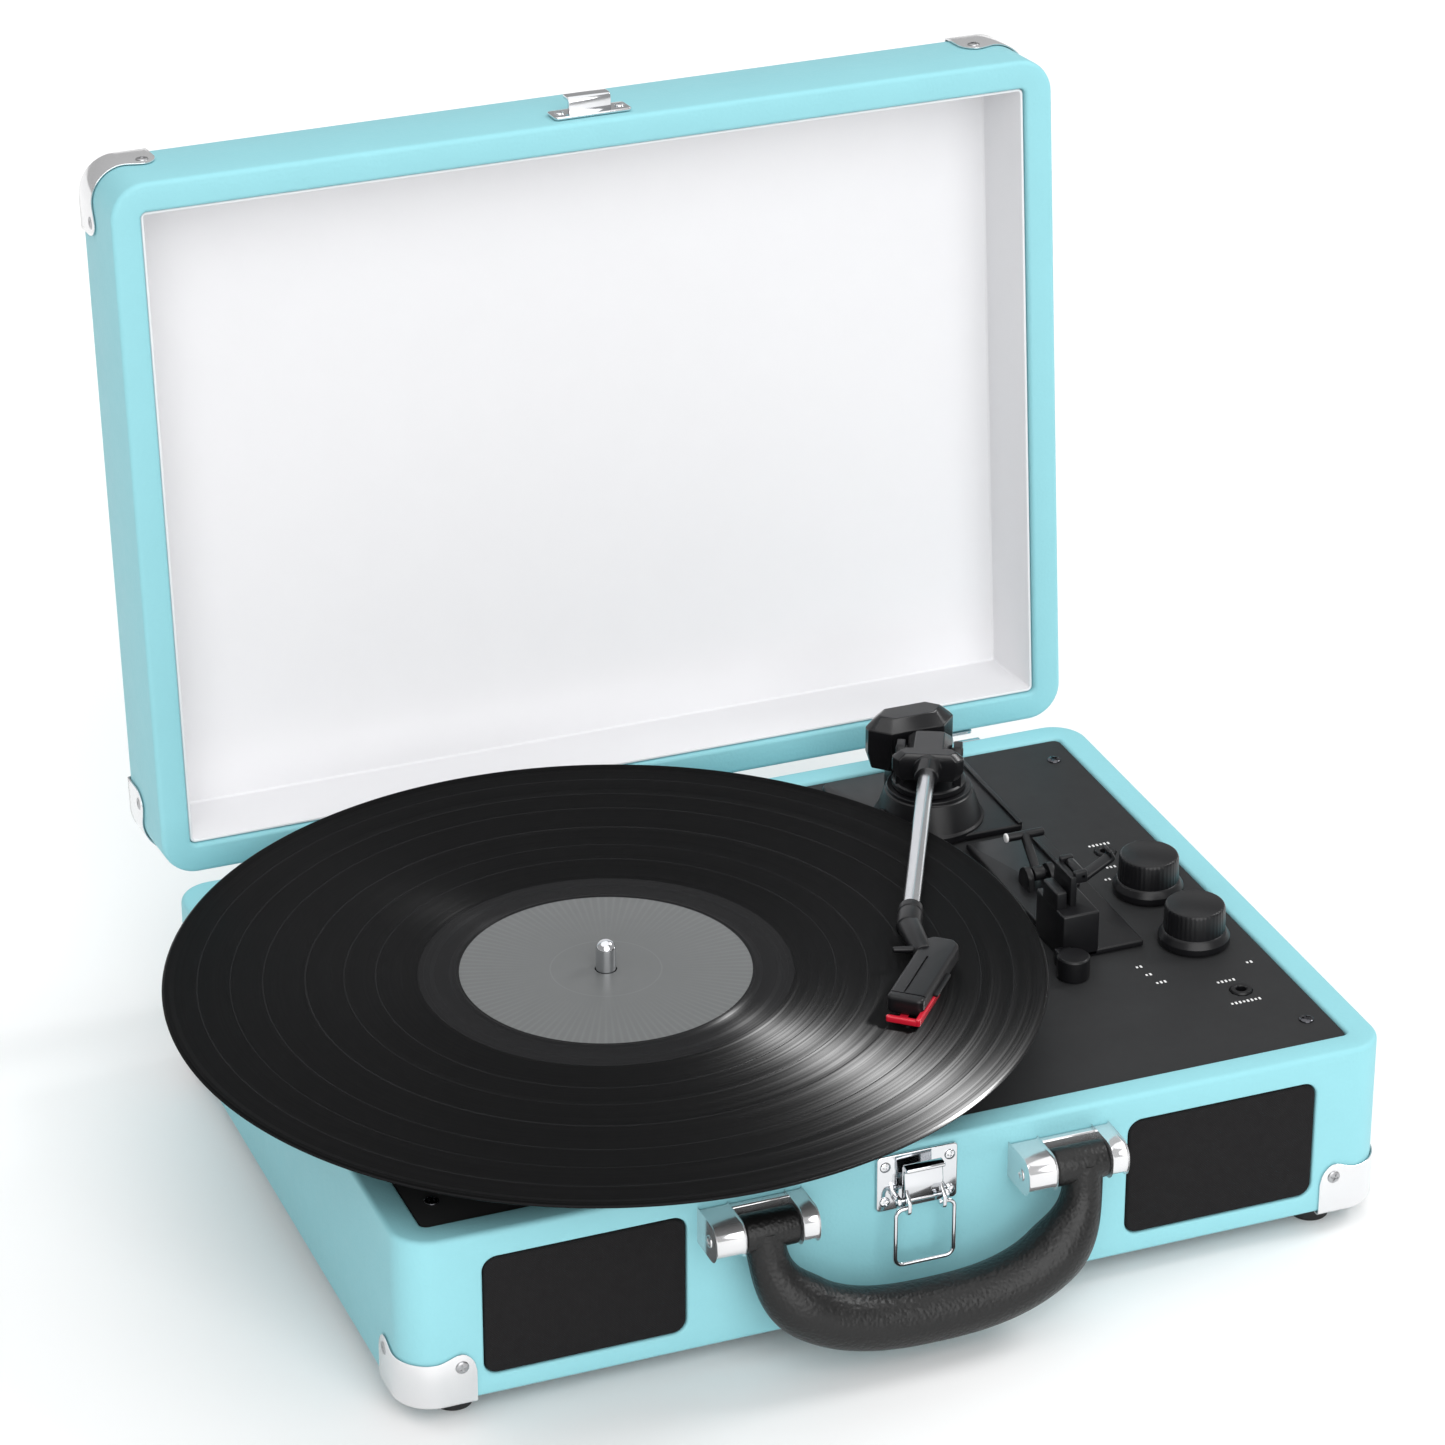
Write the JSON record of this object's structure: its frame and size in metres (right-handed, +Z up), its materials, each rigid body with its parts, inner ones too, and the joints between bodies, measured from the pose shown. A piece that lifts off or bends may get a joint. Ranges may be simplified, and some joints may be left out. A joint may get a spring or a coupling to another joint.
{
  "type": "suitcase record player",
  "caption": "Portable belt-drive record player in a hinged, leatherette-covered carrying case, open, with a 12 inch record on the platter, tonearm, front speakers, latch and handle",
  "frame": {"origin": "centre of the bounding box on the floor, lid open as drawn", "axes": "+X to the listener's right, +Y from the latch and handle to the hinges, +Z up"},
  "size_m": [0.3966, 0.3776, 0.3322],
  "materials": {
    "leatherette": "turquoise grained leatherette over board",
    "lining": "smooth white lining",
    "deck_plastic": "dark grey, finely textured",
    "black_plastic": "black, satin",
    "grip": "black, leather-grained moulding",
    "rubber": "black, matt",
    "chrome": "bright plated",
    "steel": "plain",
    "vinyl": "black, pressed with fine grooves",
    "grille_cloth": "black woven cloth",
    "circuit_board": "green solder mask",
    "red_plastic": "red, glossy",
    "paper_cone": "dark grey coated paper"
  },
  "bodies": {
    "base": {"base_frame": "leatherette", "base_bottom": "black_plastic", "deck_plate": "deck_plastic", "latch_plate": "chrome", "motor": "steel", "circuit_board": "circuit_board", "rear_jack_panel": "black_plastic", "spindle_bearing": "steel", "drive_belt": "rubber", "tonearm_base": "black_plastic", "tonearm_housing": "black_plastic", "arm_rest": "black_plastic", "volume_pot": "steel", "selector_pot": "steel", "line_in_jack": "black_plastic", "headphone_jack": "black_plastic", "speaker_grille_left": "grille_cloth", "speaker_left": "paper_cone", "handle_bracket_left": "chrome", "hinge_base_left": "chrome", "speaker_grille_right": "grille_cloth", "speaker_right": "paper_cone", "handle_bracket_right": "chrome", "hinge_base_right": "chrome", "foot_front_left": "rubber", "foot_back_left": "rubber", "foot_front_right": "rubber", "foot_back_right": "rubber", "base_corner_front_left": "chrome", "base_corner_back_left": "chrome", "base_corner_front_right": "chrome", "base_corner_back_right": "chrome"},
    "platter": {"platter": "black_plastic", "spindle": "chrome", "slip_mat": "rubber", "vinyl_record": "vinyl"},
    "motor_shaft": {"motor_pulley": "steel"},
    "arm_carrier": {"tonearm_yoke": "black_plastic"},
    "tonearm": {"tonearm_pivot_block": "black_plastic", "tonearm_tube": "chrome", "headshell": "black_plastic", "cartridge": "black_plastic", "stylus": "red_plastic"},
    "arm_clip": {"arm_clip": "black_plastic"},
    "cue_lever": {"cue_lever": "black_plastic"},
    "volume_knob": {"volume_knob": "black_plastic"},
    "selector_knob": {"selector_knob": "black_plastic"},
    "speed_switch": {"speed_switch": "black_plastic"},
    "latch_lever": {"latch_lever": "chrome"},
    "latch_bail": {"latch_bail": "chrome"},
    "handle": {"handle": "grip"},
    "lid": {"lid_shell": "leatherette", "lid_lining": "lining", "lid_catch": "chrome", "hinge_lid_left": "chrome", "hinge_lid_right": "chrome", "lid_corner_front_left": "chrome", "lid_corner_back_left": "chrome", "lid_corner_front_right": "chrome", "lid_corner_back_right": "chrome"}
  },
  "joints": [
    {"name": "platter_spin", "type": "hinge", "parent": "base", "child": "platter", "pos_m": [-0.04755, -0.03803, 0.082], "axis": [0, 0, 1], "continuous": true},
    {"name": "pulley_spin", "type": "hinge", "parent": "base", "child": "motor_shaft", "pos_m": [-0.06057, 0.03583, 0.08], "axis": [0, 0, 1], "continuous": true},
    {"name": "arm_swing", "type": "hinge", "parent": "base", "child": "arm_carrier", "pos_m": [0.11465, 0.05917, 0.087], "axis": [0, 0, 1], "range_deg": [-15.5, 28.5]},
    {"name": "arm_lift", "type": "hinge", "parent": "arm_carrier", "child": "tonearm", "pos_m": [0.11465, 0.05917, 0.0995], "axis": [-0.8942, 0.4478, 0], "range_deg": [0, 20]},
    {"name": "clip_swing", "type": "hinge", "parent": "base", "child": "arm_clip", "pos_m": [0.12695, -0.04033, 0.099], "axis": [0, 1, 0], "range_deg": [-150, 0]},
    {"name": "cue_lever_lift", "type": "hinge", "parent": "base", "child": "cue_lever", "pos_m": [0.13015, -0.00283, 0.077], "axis": [1, 0, 0], "range_deg": [0, 40]},
    {"name": "volume_turn", "type": "hinge", "parent": "base", "child": "volume_knob", "pos_m": [0.16615, -0.05683, 0.078], "axis": [0, 0, -1], "range_deg": [0, 280]},
    {"name": "selector_turn", "type": "hinge", "parent": "base", "child": "selector_knob", "pos_m": [0.16695, -0.01783, 0.078], "axis": [0, 0, -1], "range_deg": [-30, 30]},
    {"name": "speed_slide", "type": "slide", "parent": "base", "child": "speed_switch", "axis": [0, 1, 0], "range_m": [-0.005, 0.005]},
    {"name": "latch_turn", "type": "hinge", "parent": "base", "child": "latch_lever", "pos_m": [0.02115, -0.15133, 0.053], "axis": [1, 0, 0], "range_deg": [0, 90]},
    {"name": "bail_swing", "type": "hinge", "parent": "latch_lever", "child": "latch_bail", "pos_m": [0.02115, -0.15413, 0.0515], "axis": [1, 0, 0], "range_deg": [-150, 30]},
    {"name": "handle_swing", "type": "hinge", "parent": "base", "child": "handle", "pos_m": [0.01965, -0.15683, 0.057], "axis": [-1, 0, 0], "range_deg": [0, 100]},
    {"name": "lid_hinge", "type": "hinge", "parent": "base", "child": "lid", "pos_m": [0.01965, 0.11592, 0.0661], "axis": [-1, 0, 0], "range_deg": [-67, 0]}
  ],
  "couplings": [
    {"joint": "pulley_spin", "follows": "platter_spin", "ratio": 12},
    {"joint": "bail_swing", "follows": "latch_turn", "ratio": -1}
  ]
}
